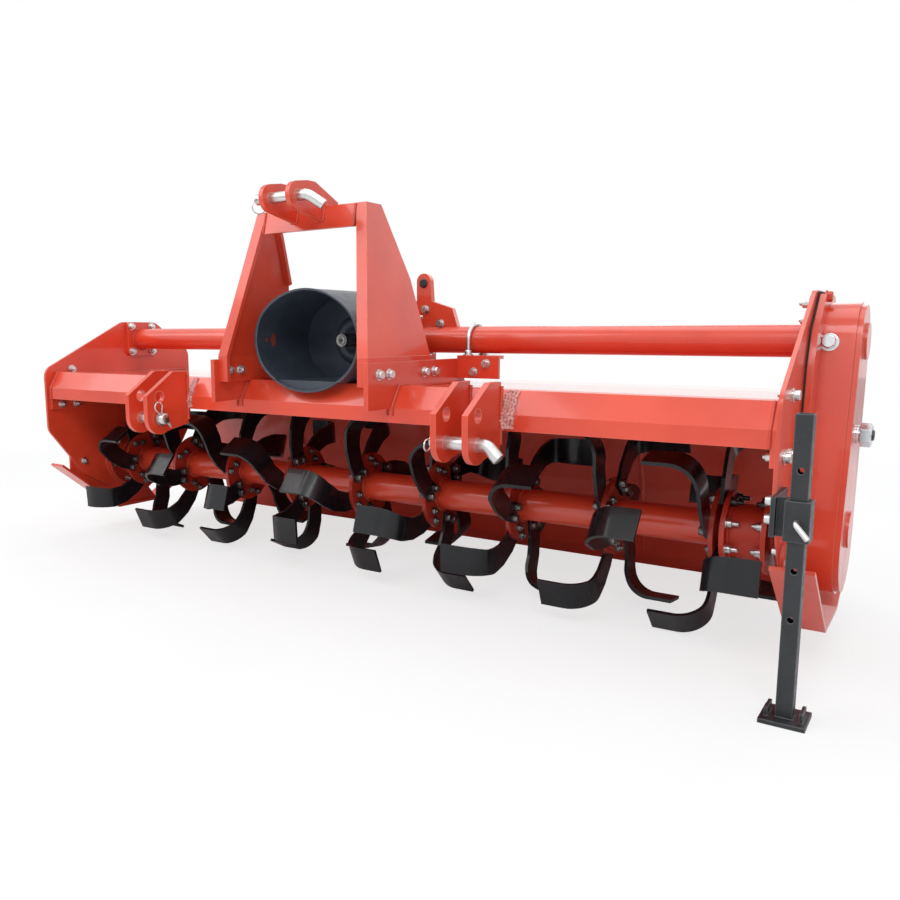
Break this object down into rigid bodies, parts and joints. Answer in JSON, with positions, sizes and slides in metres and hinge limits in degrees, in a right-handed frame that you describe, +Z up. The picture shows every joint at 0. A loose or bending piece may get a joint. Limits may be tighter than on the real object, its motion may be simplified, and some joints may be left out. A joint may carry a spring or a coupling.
{
  "type": "tractor-mounted rotary tiller",
  "caption": "Three-point-hitch rotary tiller with a tined rotor under a steel hood, side chain drive, mast, PTO gearbox, hinged tailgate and parking stand.",
  "frame": {"origin": "on the floor, in the middle of the machine's bounding box", "axes": "+X along the rotor towards the chain case, -Y forwards to the tractor, +Z up"},
  "size_m": [2.352, 0.9242, 1.021],
  "materials": {
    "red_paint": "satin",
    "black_steel": "satin",
    "black_paint": "satin",
    "zinc": "satin",
    "bright_steel": "satin",
    "black_plastic": "satin"
  },
  "bodies": {
    "frame": {"bearing_left": "red_paint", "bearing_right": "red_paint", "chain_case": "red_paint", "chain_cover": "red_paint", "chain_cover_nut": "zinc", "front_beam": "red_paint", "gearbox": "red_paint", "hood_deck": "red_paint", "lower_ears_left": "red_paint", "lower_ears_right": "red_paint", "lower_pin_left": "zinc", "lower_pin_right": "zinc", "mast_crossbar": "red_paint", "mast_leg_left": "red_paint", "mast_leg_right": "red_paint", "mast_lug_left": "red_paint", "mast_lug_right": "red_paint", "pto_guard": "black_plastic", "side_plate_left": "red_paint", "side_plate_right": "red_paint", "skid_left": "red_paint", "skid_right": "red_paint", "stand_pin": "zinc", "stand_socket": "black_paint", "stay_bracket": "red_paint", "tailgate_hinge_rod": "zinc", "toolbar_tube_left": "red_paint", "toolbar_tube_right": "red_paint", "top_link_ears": "red_paint", "top_link_pin": "zinc", "tube_clamp_left": "red_paint", "tube_clamp_right": "red_paint"},
    "rotor": {"tine_set_1": "black_steel", "tine_set_2": "black_steel", "tine_set_3": "black_steel", "tine_set_4": "black_steel", "tine_set_5": "black_steel", "tine_set_6": "black_steel", "tine_set_7": "black_steel", "tine_set_8": "black_steel", "tine_set_9": "black_steel", "rotor_tube": "red_paint", "drive_hub": "red_paint"},
    "pto": {"pto_shaft": "bright_steel"},
    "tailgate": {"tailgate": "red_paint"},
    "stand": {"stand_leg": "black_paint"}
  },
  "joints": [
    {"name": "rotor_turn", "type": "hinge", "parent": "frame", "child": "rotor", "pos_m": [0, -0.02, 0.244], "axis": [1, 0, 0], "continuous": true},
    {"name": "pto_turn", "type": "hinge", "parent": "frame", "child": "pto", "pos_m": [-0.024, -0.191, 0.653], "axis": [0, -1, 0], "continuous": true},
    {"name": "tailgate_hinge", "type": "hinge", "parent": "frame", "child": "tailgate", "pos_m": [0, 0.274, 0.52], "axis": [1, 0, 0], "range_deg": [0, 80]},
    {"name": "stand_slide", "type": "slide", "parent": "frame", "child": "stand", "axis": [0, 0, 1], "range_m": [0, 0.172]}
  ],
  "couplings": [
    {"joint": "pto_turn", "follows": "rotor_turn", "ratio": 2.5}
  ]
}
